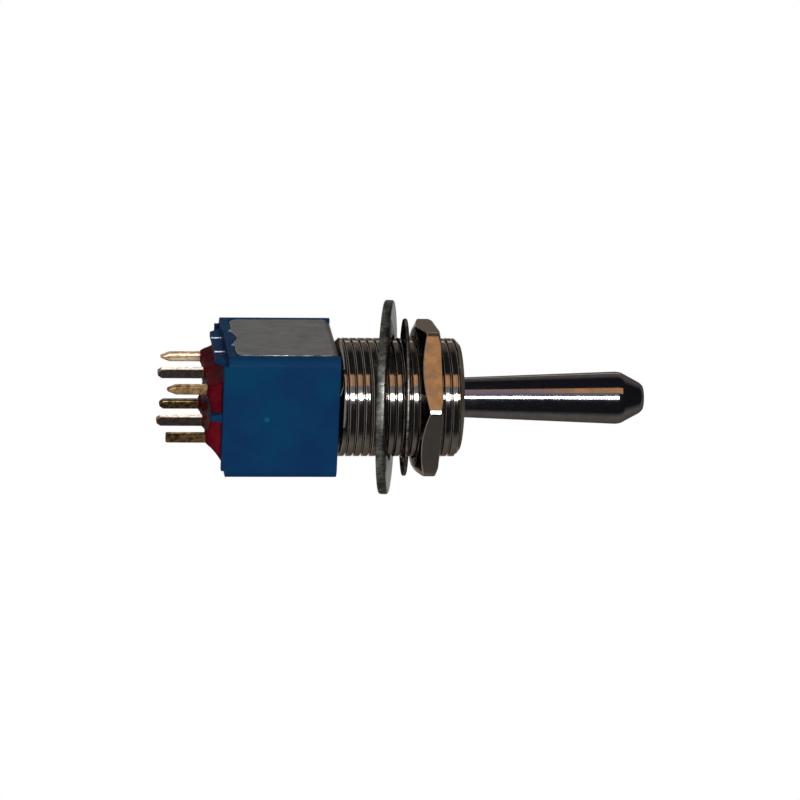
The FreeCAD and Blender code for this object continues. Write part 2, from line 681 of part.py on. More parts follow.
def makeRocker(sideName, side):
    body = newBody(f"rocker_{sideName}")
    outerBow = "(rockerBow + rockerThickness)"
    rise = "(rockerBow - sqrt(rockerBow * rockerBow - rockerBowHalf * rockerBowHalf))"
    under = f"({outerBow} - sqrt({outerBow} * {outerBow} - rockerBowHalf * rockerBowHalf))"
    profile = newSketch(body, "YZ_Plane")
    crest, end = f"-{rockerTop} + {rise}", f"-{rockerTop} + {rise} - rockerFall"
    outline(profile, [
        ("-rockerBowHalf", f"-{rockerTop} - rockerThickness + {under}", outerBow),
        ("rockerBowHalf", f"-{rockerTop} - rockerThickness + {under}"),
        ("rockerReach", f"{end} - rockerThickness"),
        ("rockerReach", end),
        ("rockerBowHalf", crest, "-rockerBow"),
        ("-rockerBowHalf", crest),
        ("-rockerReach", end),
        ("-rockerReach", f"{end} - rockerThickness"),
    ])
    feature(body, "Pad", profile, "rockerWidth", midplane=True)

    notches = newSketch(body, "XY_Plane")
    for edge in (-1, 1):
        inner, outer = f"{edge} * (earInset - earGap / 2)", f"{edge} * rockerWidth"
        low, high = (inner, outer) if edge > 0 else (outer, inner)
        rectangle(notches, low, high, "-earWidth / 2 - earGap", "earWidth / 2 + earGap")
    feature(body, "Pocket", notches, midplane=True)

    buttons = newSketch(body, "XY_Plane", f"{end} - rockerThickness - buttonDrop")
    for step in (-1, 1):
        circle(buttons, 0, f"{step} * buttonReach", "buttonRadius")
    feature(body, "Pad", buttons, "buttonDrop + rockerThickness / 2")
    place(body, x=f"{side} * polePitch / 2")


# Terminals: each blade is one stamping with its contact or saddle

tips = {
    ("left", "front"): "point",
    ("left", "common"): "blunt",
    ("left", "rear"): "point",
    ("right", "front"): "square",
    ("right", "common"): "blunt",
    ("right", "rear"): "blunt",
}


def bladeOutline(body, top, depth, style):
    taper, tipWidth = style + "Taper", style + "Tip"
    half = "bladeWidth / 2"
    blade = newSketch(body, "XZ_Plane")
    outline(blade, [
        (f"-{half}", f"-{top}"),
        (f"-{half}", f"-{depth} + {taper}"),
        (f"-{tipWidth} / 2", f"-{depth}"),
        (f"{tipWidth} / 2", f"-{depth}"),
        (half, f"-{depth} + {taper}"),
        (half, f"-{top}"),
    ])
    return blade


def makeOuterTerminal(sideName, columnName):
    body = newBody(f"terminal_{sideName}_{columnName}")
    inward = -columns[columnName]
    blade = bladeOutline(body, "contactDepth", "outerDepth", tips[sideName, columnName])
    feature(body, "Pad", blade, "outerBlade", midplane=True)
    foot = newSketch(body, "YZ_Plane")
    ends = [
        (f"{inward} * outerBlade / 2", "-contactDepth - contactThickness"),
        (f"{inward} * (outerBlade / 2 + contactReach)", "-contactDepth - contactThickness"),
        (f"{inward} * (outerBlade / 2 + contactReach)", "-contactDepth"),
        (f"-{inward} * outerBlade / 2", "-contactDepth"),
        (f"-{inward} * outerBlade / 2", "-contactDepth - contactThickness"),
    ]
    outline(foot, ends[::inward])
    feature(body, "Pad", foot, "rockerWidth", midplane=True)
    place(body, x=f"{sides[sideName]} * polePitch / 2", y=f"-{inward} * contactPitch")


def makeCommonTerminal(sideName):
    body = newBody(f"terminal_{sideName}_common")
    top = "(plungerTip + rockerThickness + 2 * rockerGap)"
    blade = bladeOutline(body, f"({top} + saddleThickness / 2)", "commonDepth", tips[sideName, "common"])
    feature(body, "Pad", blade, "commonBlade", midplane=True)
    saddle = newSketch(body, "YZ_Plane")
    half = "commonBlade / 2"
    outline(saddle, [
        (f"-{half}", f"-{top} - saddleThickness"),
        (half, f"-{top} - saddleThickness"),
        (half, f"-{top} - {half}", half),
        (0, f"-{top}", half),
        (f"-{half}", f"-{top} - {half}"),
    ])
    feature(body, "Pad", saddle, "2 * (earInset + earThickness)", midplane=True)
    ears = newSketch(body, "XZ_Plane")
    for edge in (-1, 1):
        inner, outer = f"{edge} * earInset", f"{edge} * (earInset + earThickness)"
        low, high = (inner, outer) if edge > 0 else (outer, inner)
        rectangle(ears, low, high, f"-{top} - saddleThickness", "-earTop")
    feature(body, "Pad", ears, "earWidth", midplane=True)
    place(body, x=f"{sides[sideName]} * polePitch / 2")


# Epoxy: poured behind the floor, and drawn up into a ridge along each row

def makeEpoxy():
    body = newBody("epoxy_seal")
    section = newSketch(body, "XZ_Plane")
    for side in sides.values():
        row = f"{side} * polePitch / 2"
        wall, fin = f"{side} * {troughX}", f"{side} * {finHalf}"
        outline(section, [
            (fin, f"-{troughDepth}"),
            (fin, "-finResinDepth", f"{-side} * meniscusRadius"),
            (f"{row} - {side} * ridgeHalf", "-ridgeDepth"),
            (f"{row} + {side} * ridgeHalf", "-ridgeDepth", f"{-side} * meniscusRadius"),
            (wall, "-wallResinDepth"),
            (wall, f"-{troughDepth}"),
        ])
    feature(body, "Pad", section, f"2 * {troughY}", midplane=True)

    ends = newSketch(body, "YZ_Plane")
    for side in (-1, 1):
        outline(ends, [
            (f"{side} * {troughY}", "-wallResinDepth", f"{side} * endMeniscusRadius"),
            (f"{side} * ({troughY} - ridgeEndInset)", "-ridgeDepth"),
            (f"{side} * ({troughY} - ridgeEndInset)", "-finDepth - ridgeHalf"),
            (f"{side} * bodyThrow", "-finDepth - ridgeHalf"),
            (f"{side} * bodyThrow", "-wallResinDepth"),
        ])
    feature(body, "Pocket", ends, midplane=True)

    blades = newSketch(body, "XY_Plane", f"-{troughDepth}")
    bladeOutlines(blades)
    feature(body, "Pocket", blades)

    lug = newSketch(body, "YZ_Plane", "-bodyPole / 2 + lugInset")
    rectangle(lug, "-lugWidth / 2", "lugWidth / 2", "-lugDepth", f"-{troughDepth}")
    feature(body, "Pocket", lug, "lugThickness", reverse=True)


# Panel hardware, loose on the thread as it is delivered

def makePanelWasher():
    body = newBody("panel_washer")
    profile = newSketch(body, "XZ_Plane")
    half = "washerThickness / 2"
    rectangle(profile, "washerBore", "washerRadius", f"-{half}", half)
    revolve(body, "Revolution", profile)
    place(body, z="washerHeight", tilt="washerTilt", lean="washerLean")


def makeLockWasher():
    body = newBody("lock_washer")
    profile = newSketch(body, "XZ_Plane")
    rectangle(profile, "lockRing", "lockRadius", "-lockThickness / 2", "lockThickness / 2")
    revolve(body, "Revolution", profile)
    tooth = newSketch(body, "YZ_Plane", "lockToothTip")
    half = "lockToothWidth / 2"
    rise = f"{half} * tan(lockTwist)"
    outline(tooth, [
        (f"-{half}", f"-{rise} - lockThickness / 2"),
        (half, f"{rise} - lockThickness / 2"),
        (half, f"{rise} + lockThickness / 2"),
        (f"-{half}", f"-{rise} + lockThickness / 2"),
    ])
    pad = feature(body, "Pad", tooth, "lockRing - lockToothTip + lockThickness / 2")
    ring = body.newObject("PartDesign::PolarPattern", "lock_washer_teeth")
    ring.Originals = [pad]
    ring.Axis = (next(a for a in body.Origin.OriginFeatures if a.Role == "Z_Axis"), [""])
    ring.Angle = 360
    bind(ring, Occurrences="lockTeeth")
    body.Tip = ring
    doc.recompute()
    place(body, z="lockHeight", tilt="lockTilt", lean="lockLean")


def makeHexNut():
    body = newBody("hex_nut")
    prism = newSketch(body, "XY_Plane")
    flat, corner = "nutAcrossFlats / 2", "nutAcrossFlats / sqrt(3)"
    outline(prism, [
        (corner, 0),
        (f"{corner} / 2", flat),
        (f"-{corner} / 2", flat),
        (f"-{corner}", 0),
        (f"-{corner} / 2", f"-{flat}"),
        (f"{corner} / 2", f"-{flat}"),
    ])
    feature(body, "Pad", prism, "nutThickness")
    bore = newSketch(body, "XY_Plane")
    circle(bore, 0, 0, "bushingRadius + fitGap / 2")
    feature(body, "Pocket", bore, reverse=True)
    chamfers = newSketch(body, "XZ_Plane")
    reach = "nutAcrossFlats"
    innerDrop = f"(({reach} - nutChamferStart) * tan(nutChamferAngle))"
    outerDrop = f"(({reach} - nutOuterStart) * tan(nutChamferAngle))"
    outline(chamfers, [
        ("nutChamferStart", 0),
        (reach, 0),
        (reach, innerDrop),
    ])
    outline(chamfers, [
        ("nutOuterStart", "nutThickness"),
        (reach, f"nutThickness - {outerDrop}"),
        (reach, "nutThickness"),
    ])
    revolve(body, "Groove", chamfers)
    place(body, z="nutHeight", turn="nutTurn")


makeHousing()
makeFrame()
makeBushing()
makeLever()
makePivotPin()
makeLeverSeal()
makeActuator()
for sideName, side in sides.items():
    makePlunger(sideName, side)
    makeSpring(sideName, side)
    makeRocker(sideName, side)
    makeCommonTerminal(sideName)
    for columnName in ("front", "rear"):
        makeOuterTerminal(sideName, columnName)
makeEpoxy()
makePanelWasher()
makeLockWasher()
makeHexNut()
doc.recompute()

for item in doc.Objects:
    if "Invalid" in item.State or "Error" in item.State:
        raise RuntimeError(f"{item.Label} failed: {item.State}")
for item in subParts:
    if item.Shape.isNull() or not item.Shape.isValid() or not item.Shape.Solids:
        raise RuntimeError(f"{item.Label} has no valid solid")

os.makedirs("parts", exist_ok=True)
for item in subParts:
    item.Shape.exportStep(f"parts/{item.Label}.step")
    print(item.Label, len(item.Shape.Solids), round(item.Shape.Volume, 3))
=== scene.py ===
import json
import math
import bmesh
import bpy
from mathutils import Matrix, Vector


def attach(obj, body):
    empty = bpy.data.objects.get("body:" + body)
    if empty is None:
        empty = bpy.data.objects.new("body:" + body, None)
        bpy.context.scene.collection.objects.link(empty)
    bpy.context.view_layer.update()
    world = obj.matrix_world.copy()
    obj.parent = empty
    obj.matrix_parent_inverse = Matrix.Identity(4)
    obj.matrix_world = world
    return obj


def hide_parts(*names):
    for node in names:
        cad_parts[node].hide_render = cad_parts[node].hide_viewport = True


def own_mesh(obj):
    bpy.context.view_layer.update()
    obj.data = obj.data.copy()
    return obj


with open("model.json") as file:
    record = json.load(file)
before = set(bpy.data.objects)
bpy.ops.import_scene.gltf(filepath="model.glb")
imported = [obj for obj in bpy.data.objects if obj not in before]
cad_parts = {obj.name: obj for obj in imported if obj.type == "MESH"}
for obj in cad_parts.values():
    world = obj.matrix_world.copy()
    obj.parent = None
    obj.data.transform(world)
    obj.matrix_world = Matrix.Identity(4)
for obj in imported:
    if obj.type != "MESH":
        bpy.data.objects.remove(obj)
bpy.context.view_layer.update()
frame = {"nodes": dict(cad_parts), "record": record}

mm = 0.001
bodyOf = {node: body for body, nodes in frame["record"]["behaviour"]["bodies"].items() for node in nodes}
print("frame loaded,", len(frame["nodes"]), "pieces")


# Camera, at the photograph's angle: its right is the lever's direction, its top the lug's side

cameraLook = {
    "aboveFront": 20.8,     # degrees, turned from the front wall towards the lug's side
    "behindFace": 7.0,      # degrees, turned from square on towards the pins
    "roll": 0.16,
    "distance": 500.7,      # mm
    "aimRight": 6.72,       # mm, what the picture's middle looks at
    "aimUp": -0.29,
    "lens": 225.0,
    "sensor": 36.0,
    "clip": (0.01, 20.0),   # m
}
elevation = math.radians(cameraLook["aboveFront"])
yaw = math.radians(cameraLook["behindFace"])
viewUp = Vector((-math.cos(elevation), math.sin(elevation), 0))
viewOut = Vector((-math.sin(elevation), -math.cos(elevation), 0))   # square to the axis, towards the camera
axisUp = Vector((0, 0, 1))


def aroundAxis(angle, rise):
    # a direction, angle degrees above the camera's side and rise degrees towards the lever's tip
    angle, rise = math.radians(angle), math.radians(rise)
    return (viewOut * math.cos(angle) + viewUp * math.sin(angle)) * math.cos(rise) + axisUp * math.sin(rise)


def makeCamera():
    right = axisUp * math.cos(yaw) + viewOut * math.sin(yaw)
    back = viewOut * math.cos(yaw) - axisUp * math.sin(yaw)
    roll = Matrix.Rotation(math.radians(cameraLook["roll"]), 3, back)
    data = bpy.data.cameras.new("camera")
    data.lens = cameraLook["lens"]
    data.sensor_width = cameraLook["sensor"]
    data.clip_start, data.clip_end = cameraLook["clip"]
    camera = bpy.data.objects.new("camera", data)
    bpy.context.scene.collection.objects.link(camera)
    place = (right * cameraLook["aimRight"] + viewUp * cameraLook["aimUp"]
             + back * cameraLook["distance"]) * mm
    turned = Matrix([roll @ right, roll @ viewUp, back]).transposed()
    camera.matrix_world = Matrix.Translation(place) @ turned.to_4x4()
    bpy.context.scene.camera = camera


makeCamera()
print("camera set")


# Node helpers

def newMaterial(name):
    material = bpy.data.materials.new(name)
    material.use_nodes = True
    return material, material.node_tree, material.node_tree.nodes["Principled BSDF"]


def millimetres(tree, stretch=(1, 1, 1)):
    # the surface's own place in mm, stretched where a finish has a direction
    place = tree.nodes.new("ShaderNodeTexCoord")
    scale = tree.nodes.new("ShaderNodeVectorMath")
    scale.operation = "MULTIPLY"
    scale.inputs[1].default_value = [1000 * s for s in stretch]
    tree.links.new(place.outputs["Object"], scale.inputs[0])
    return scale.outputs[0]


def noiseOf(tree, place, size, detail=3.0, roughness=0.55):
    noise = tree.nodes.new("ShaderNodeTexNoise")
    noise.inputs["Scale"].default_value = 1.0 / size
    noise.inputs["Detail"].default_value = detail
    noise.inputs["Roughness"].default_value = roughness
    tree.links.new(place, noise.inputs["Vector"])
    return noise.outputs["Fac"]


def spread(tree, source, low, high, toLow, toHigh):
    ramp = tree.nodes.new("ShaderNodeMapRange")
    for name, number in (("From Min", low), ("From Max", high), ("To Min", toLow), ("To Max", toHigh)):
        ramp.inputs[name].default_value = number
    tree.links.new(source, ramp.inputs["Value"])
    return ramp.outputs["Result"]


def mixColour(tree, factor, first, second):
    mix = tree.nodes.new("ShaderNodeMix")
    mix.data_type = "RGBA"
    tree.links.new(factor, mix.inputs["Factor"])
    for socket, colour in ((mix.inputs["A"], first), (mix.inputs["B"], second)):
        if isinstance(colour, tuple):
            socket.default_value = (*colour, 1)
        else:
            tree.links.new(colour, socket)
    return mix.outputs["Result"]


def combine(tree, operation, first, second):
    node = tree.nodes.new("ShaderNodeMath")
    node.operation = operation
    for socket, source in zip(node.inputs, (first, second)):
        tree.links.new(source, socket)
    return node.outputs[0]


def darker(colour, share):
    return tuple(c * share for c in colour)


def colourBetween(tree, shader, source, low, high, first, second):
    # first where the source is below low, second where it is above high
    mixed = mixColour(tree, spread(tree, source, low, high, 0, 1), first, second)
    tree.links.new(mixed, shader.inputs["Base Color"])


def roughnessBetween(tree, shader, source, smooth, rough):
    tree.links.new(spread(tree, source, 0.3, 0.7, smooth, rough), shader.inputs["Roughness"])


def bumpOf(tree, shader, height, depth):
    # depth in mm for a height that runs from 0 to 1
    bump = tree.nodes.new("ShaderNodeBump")
    bump.inputs["Distance"].default_value = depth * mm
    tree.links.new(height, bump.inputs["Height"])
    tree.links.new(bump.outputs["Normal"], shader.inputs["Normal"])


# Finishes: sizes and depths in mm

housingFinish = {
    "blue": (0.0036, 0.023, 0.074),
    "paleBlue": (0.0024, 0.035, 0.084),
    # worn is the pale blue of the lug's groove walls: a painted highlight where they catch the light
    "worn": (0.42, 0.50, 0.64),
    "cloud": 5.0, "grain": 0.22, "grainDepth": 0.006,
    "gateMark": (0.003, 0.075, 0.130),
    "gateSize": (0.16, 0.34),               # the mark's middle and its outer edge
    "gatePlace": (0.0, -6.5, -7.2),         # on the front wall
    "roughness": (0.36, 0.50),
    "specular": 0.012,
}


def housingPlastic():
    look = housingFinish
    material, tree, shader = newMaterial("housingPlastic")
    place = millimetres(tree)
    cloud = noiseOf(tree, place, look["cloud"], detail=4.0)
    blue = mixColour(tree, spread(tree, cloud, 0.35, 0.65, 0, 1), look["blue"], look["paleBlue"])
    gate = tree.nodes.new("ShaderNodeVectorMath")
    gate.operation = "DISTANCE"
    tree.links.new(place, gate.inputs[0])
    gate.inputs[1].default_value = look["gatePlace"]
    middle, rim = look["gateSize"]
    colourBetween(tree, shader, gate.outputs["Value"], rim, middle, blue, look["gateMark"])
    grain = noiseOf(tree, place, look["grain"], detail=5.0)
    roughnessBetween(tree, shader, grain, *look["roughness"])
    shader.inputs["Specular IOR Level"].default_value = look["specular"]
    bumpOf(tree, shader, grain, look["grainDepth"])
    return material


frameFinish = {
    "stained": (0.094, 0.097, 0.092), "clean": (0.126, 0.132, 0.134),
    "rolled": 0.35, "rolledDepth": 0.003, "stain": 1.6,
    "roughness": (0.36, 0.50),
}


def frameSheet():
    # rolled sheet, dull, with faint stains along the rolling direction
    look = frameFinish
    material, tree, shader = newMaterial("frameSheet")
    rolled = noiseOf(tree, millimetres(tree, (3.0, 3.0, 0.35)), look["rolled"], detail=5.0)
    stain = noiseOf(tree, millimetres(tree, (1, 1, 0.7)), look["stain"], detail=4.0)
    colourBetween(tree, shader, stain, 0.36, 0.60, look["stained"], look["clean"])
    shader.inputs["Metallic"].default_value = 1.0
    roughnessBetween(tree, shader, rolled, *look["roughness"])
    bumpOf(tree, shader, rolled, look["rolledDepth"])
    return material


nickelFinish = {
    "haze": 0.9, "hazedTone": 0.82, "hazedRoughness": (0.7, 1.35),      # shares of the plating's own
    "sheen": (0.55, 0.5, 0.45, 1),
}


def darkNickel(name, tone, roughness, marks, markDepth):
    # bright dark plating; marks are the tool's rings, so many mm apart along the axis
    look = nickelFinish
    material, tree, shader = newMaterial(name)
    rings = noiseOf(tree, millimetres(tree, (0.15, 0.15, 1.0)), marks)
    haze = noiseOf(tree, millimetres(tree), look["haze"], detail=4.0)
    colourBetween(tree, shader, haze, 0.40, 0.65, tone, darker(tone, look["hazedTone"]))
    shader.inputs["Metallic"].default_value = 1.0
    shader.inputs["Specular Tint"].default_value = look["sheen"]
    roughnessBetween(tree, shader, haze, *(roughness * share for share in look["hazedRoughness"]))
    bumpOf(tree, shader, rings, markDepth)
    return material


stockFinish = {
    "rolled": 0.5, "rolledDepth": 0.01, "rolledRoughness": (0.7, 1.3),  # shares of the washer's own
    "haze": 1.7, "hazedTone": 0.7,
    "torn": 0.55, "tornDepth": 0.05, "tornTone": 0.28, "tornRoughness": (0.24, 0.44), "blotch": 1.1,
    "sheen": (0.4, 0.4, 0.38, 1),
}


def washerPlate(name, tone, roughness):
    # flat faces: bright plate over rolled stock
    look = stockFinish
    material, tree, shader = newMaterial(name)
    rolled = noiseOf(tree, millimetres(tree, (0.3, 2.4, 1.0)), look["rolled"], detail=4.0)
    haze = noiseOf(tree, millimetres(tree), look["haze"], detail=4.0)
    colourBetween(tree, shader, haze, 0.35, 0.65, tone, darker(tone, look["hazedTone"]))
    shader.inputs["Metallic"].default_value = 1.0
    shader.inputs["Specular Tint"].default_value = look["sheen"]
    roughnessBetween(tree, shader, rolled, *(roughness * share for share in look["rolledRoughness"]))
    bumpOf(tree, shader, rolled, look["rolledDepth"])
    return material


def shearedEdge(name, tone):
    # rim left by the punch, torn and blotched
    look = stockFinish
    material, tree, shader = newMaterial(name)
    torn = noiseOf(tree, millimetres(tree, (2.2, 2.2, 0.45)), look["torn"], detail=6.0, roughness=0.7)
    blotch = noiseOf(tree, millimetres(tree), look["blotch"], detail=4.0)
    both = combine(tree, "MULTIPLY", torn, blotch)
    colourBetween(tree, shader, both, 0.20, 0.36, darker(tone, look["tornTone"]), tone)
    shader.inputs["Metallic"].default_value = 1.0
    shader.inputs["Specular Tint"].default_value = look["sheen"]
    roughnessBetween(tree, shader, torn, *look["tornRoughness"])
    bumpOf(tree, shader, torn, look["tornDepth"])
    return material


goldFinish = {
    "tarnish": 0.45, "tarnishRoughness": (0.8, 1.4),                    # shares of the pin's own
    "drawn": 0.3, "drawnDepth": 0.006, "dullDepth": 0.02,               # dull pins are marked deeper
}


def goldPlate(name, roughness, bright, tarnished):
    # thin gold over drawn wire, tarnished in blotches
    look = goldFinish
    material, tree, shader = newMaterial(name)
    tarnish = noiseOf(tree, millimetres(tree), look["tarnish"], detail=5.0, roughness=0.65)
    drawn = noiseOf(tree, millimetres(tree, (2.0, 2.0, 0.35)), look["drawn"], detail=4.0)
    colourBetween(tree, shader, tarnish, 0.40, 0.60, bright, tarnished)
    shader.inputs["Metallic"].default_value = 1.0
    roughnessBetween(tree, shader, tarnish, *(roughness * share for share in look["tarnishRoughness"]))
    bumpOf(tree, shader, drawn, look["drawnDepth"] + look["dullDepth"] * roughness)
    return material


resinFinish = {
    "deepRed": (0.055, 0.0020, 0.005), "red": (0.098, 0.0045, 0.010),
    "cloud": 1.6, "grain": 0.35, "grainDepth": 0.008,
    "roughness": (0.30, 0.46),
    "specular": 0.005,
}


def redResin():
    look = resinFinish
    material, tree, shader = newMaterial("redResin")
    place = millimetres(tree)
    cloud = noiseOf(tree, place, look["cloud"], detail=4.0)
    colourBetween(tree, shader, cloud, 0.35, 0.65, look["deepRed"], look["red"])
    roughnessBetween(tree, shader, cloud, *look["roughness"])
    shader.inputs["Specular IOR Level"].default_value = look["specular"]
    bumpOf(tree, shader, noiseOf(tree, place, look["grain"]), look["grainDepth"])
    return material


def plainFinish(name, colour, roughness, grain, metallic=0.0):
    # small and hidden pieces: one tone with a fine grain
    material, tree, shader = newMaterial(name)
    cloud = noiseOf(tree, millimetres(tree), grain, detail=4.0)
    colourBetween(tree, shader, cloud, 0.35, 0.65, colour, darker(colour, 0.75))
    roughnessBetween(tree, shader, cloud, roughness * 0.8, roughness * 1.2)
    shader.inputs["Metallic"].default_value = metallic
    bumpOf(tree, shader, cloud, 0.01)
    return material


nickelTone, leverTone = (0.25, 0.235, 0.215), (0.215, 0.215, 0.235)
finishes = {
    "housing": housingPlastic(),
    # the lug's groove walls get a pale blue, a painted highlight
    "paintedGlintBlue": plainFinish("paintedGlintPlastic", housingFinish["worn"], roughness=0.22, grain=0.3),
    "frame": frameSheet(),
    # the frame's broken edges and clinch fingers: bright metal, partly bare sheared edge and partly a painted
    # glint
    "frameEdgeAndGlint": shearedEdge("frameEdgeAndGlint", (0.75, 0.76, 0.75)),
    "thread": darkNickel("threadNickel", nickelTone, roughness=0.10, marks=0.25, markDepth=0.004),
    "lever": darkNickel("leverNickel", leverTone, roughness=0.09, marks=0.30, markDepth=0.0015),
    "nut": darkNickel("nutNickel", nickelTone, roughness=0.16, marks=0.45, markDepth=0.006),
    "washerFace": washerPlate("washerPlate", (0.095, 0.094, 0.089), roughness=0.26),
    "washerRim": shearedEdge("washerRim", (0.21, 0.22, 0.205)),
    "lockFace": washerPlate("lockPlate", (0.055, 0.05, 0.045), roughness=0.5),
    "lockRim": shearedEdge("lockRim", (0.26, 0.255, 0.235)),
    # one gold plating on all pins: the left pins' bright tones are painted light, the right pins' dark tones
    # painted shade; the blotches are real tarnish
    "terminal_left_rear": goldPlate("paintedLitGold", 0.42, bright=(1.0, 0.83, 0.60),
                                    tarnished=(0.60, 0.38, 0.20)),
    "terminal_left_front": goldPlate("paintedHalfLitGold", 0.34, bright=(0.70, 0.48, 0.24),
                                     tarnished=(0.20, 0.12, 0.05)),
    "terminal_right_rear": goldPlate("paintedDeepShadeGold", 0.34, bright=(0.20, 0.135, 0.060),
                                     tarnished=(0.035, 0.021, 0.009)),
    "terminal_right_front": goldPlate("paintedShadeGold", 0.32, bright=(0.30, 0.185, 0.075),
                                      tarnished=(0.045, 0.026, 0.010)),
    "common": goldPlate("commonGold", 0.10, bright=(0.92, 0.80, 0.68),
                        tarnished=(0.50, 0.34, 0.24)),
    "resin": redResin(),
    "rubber": plainFinish("sealRubber", (0.02, 0.02, 0.02), roughness=0.6, grain=0.3),
    "nylon": plainFinish("plungerNylon", (0.72, 0.70, 0.62), roughness=0.45, grain=0.5),
    "steel": plainFinish("springSteel", (0.5, 0.5, 0.5), roughness=0.3, grain=0.2, metallic=1.0),
    "contact": plainFinish("contactGold", (0.75, 0.5, 0.2), roughness=0.25, grain=0.2, metallic=1.0),
}
print("finishes made")


# Shape helpers. Forms are in mm, heights above the frame's face

def standIn(bm, name, node, materials, sharp):
    # shade the mesh and hand it to the node's body, in the node's place
    mesh = bpy.data.meshes.new(name)
    bm.to_mesh(mesh)
    bm.free()
    for face in mesh.polygons:
        face.use_smooth = True
    mesh.set_sharp_from_angle(angle=math.radians(sharp))
    for material in materials:
        mesh.materials.append(material)
    piece = bpy.data.objects.new(name, mesh)
    bpy.context.scene.collection.objects.link(piece)
    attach(piece, bodyOf[node])
    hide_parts(node)
    return piece


def closePiece(bm, name, node, materials, sharp=32, tilt=0, lean=0, turn=0, lift=0):
    # weld a mesh that is in mm and put it in place; lean is the direction, round from X, that
    # tilt turns about
    bmesh.ops.remove_doubles(bm, verts=bm.verts, dist=1e-4)
    bmesh.ops.recalc_face_normals(bm, faces=bm.faces)
    leanAxis = Vector((math.cos(math.radians(lean)), math.sin(math.radians(lean)), 0))
    turned = Matrix.Rotation(math.radians(tilt), 4, leanAxis) @ Matrix.Rotation(math.radians(turn), 4, "Z")
    bm.transform(Matrix.Scale(mm, 4) @ Matrix.Translation((0, 0, lift)) @ turned)
    return standIn(bm, name, node, materials, sharp)


def softened(points, edge, steps):
    # round every corner of a closed outline by about edge mm
    rounded = []
    count = len(points)
    for index, point in enumerate(points):
        here = Vector(point)
        before, after = Vector(points[index - 1]) - here, Vector(points[(index + 1) % count]) - here
        reach = min(edge, before.length * 0.45, after.length * 0.45)
        start, end = here + before.normalized() * reach, here + after.normalized() * reach
        for step in range(steps + 1):
            t = step / steps
            rounded.append(tuple(start * (1 - t) ** 2 + here * 2 * t * (1 - t) + end * t ** 2))
    return rounded


def ringsOf(bm, outline, steps):
    # one ring of points round Z for each (radius, height)
    rings = []
    for radius, height in outline:
        rings.append([bm.verts.new((radius * math.cos(2 * math.pi * i / steps),
                                    radius * math.sin(2 * math.pi * i / steps), height))
                      for i in range(steps)])
    return rings


def joinRings(bm, rings, closed, rim=()):
    # the faces between rings whose number is in rim have the second material
    pairs = list(zip(rings, rings[1:])) + ([(rings[-1], rings[0])] if closed else [])
    for index, (low, high) in enumerate(pairs):
        for i in range(len(low)):
            j = (i + 1) % len(low)
            face = bm.faces.new((low[i], low[j], high[j], high[i]))
            face.material_index = 1 if index in rim else 0


# Lever

leverForm = {
    "foot": -3.3, "shank": 1.2, "pivot": 3.4, "ball": 2.95, "ballFoot": 2.4, "ballSteps": 24,
    "groove": (4.175, 4.925, 1.85),         # the seal's groove: its foot, its top and its radius
    "neck": 1.5, "neckLength": 0.3,
    "mouth": (2.0, 12.6), "crown": (2.65, 28.65), "shoulder": (2.57, 29.15),
    "cone": (1.55, 31.05), "tip": (1.2, 31.4),
    "softEdge": 0.16, "softSteps": 5, "steps": 160,
}


def makeLever():
    form = leverForm
    pivot, ball, shank = form["pivot"], form["ball"], form["shank"]
    low, high, bottom = form["groove"]
    outline = [(0.0, form["foot"]), (shank, form["foot"]), (shank, pivot - math.sqrt(ball ** 2 - shank ** 2))]
    start, end = -math.acos(form["ballFoot"] / ball), math.asin((low - pivot) / ball)
    for step in range(form["ballSteps"] + 1):
        angle = start + (end - start) * step / form["ballSteps"]
        outline.append((ball * math.cos(angle), pivot + ball * math.sin(angle)))
    collar = math.sqrt(ball ** 2 - (high - pivot) ** 2)
    neckFoot = high + collar - form["neck"]
    outline += [(bottom, low), (bottom, high), (collar, high), (form["neck"], neckFoot),
                (form["neck"], neckFoot + form["neckLength"]), form["mouth"]]
    tipHeight, mouthHeight = form["tip"][1], form["mouth"][1]
    bat = softened([form["mouth"], form["crown"], form["shoulder"], form["cone"], form["tip"],
                    (0, tipHeight), (0, mouthHeight)], form["softEdge"], form["softSteps"])
    # only the bat's outside: its rounded corners on the axis and at the mouth are left out
    outline += [(radius, height) for radius, height in bat if height > mouthHeight + 1 and radius > 0.4]
    outline.append((0.0, tipHeight))
    bm = bmesh.new()
    joinRings(bm, ringsOf(bm, outline, form["steps"]), False)
    closePiece(bm, "leverBat", "lever", [finishes["lever"]])


# Bushing: a turned collar with a fine thread

bushingForm = {
    "crest": 5.95, "pitch": 25.4 / 32, "depth": 0.27, "length": 12.6, "chamfer": 0.5,
    "crestHalf": 0.34, "rootHalf": 0.05,    # shares of the pitch
    "crestDip": 0.008, "rootSoft": 0.02,
    "crestEdge": ((-0.05, 0.0), (-0.015, 0.008), (0.01, 0.035)),    # share of pitch past crestHalf, and drop
    "mouth": 4.35, "mouthSoft": (0.08, 0.05), "faceSoft": 0.05,
    "throat": 2.25, "throatTop": 5.62, "throatLength": 0.3, "socket": 3.0, "socketFall": 0.75,
    "spigot": 4.3, "lip": 4.8, "lipTop": -0.575, "lipEnd": -1.075,
    "steps": 180,
}


def threadForm(form):
    # across one thread: share of the pitch, and how far below the crest
    half, root, depth, dip = form["crestHalf"], form["rootHalf"], form["depth"], form["crestDip"]
    side = [(0.0, dip), (half * 0.5, dip * 0.5)] + [(half + past, drop) for past, drop in form["crestEdge"]]
    side += [(0.5 - root - form["rootSoft"], depth - form["rootSoft"]), (0.5 - root * 0.6, depth)]
    return side + [(1 - share, drop) for share, drop in reversed(side[1:])]


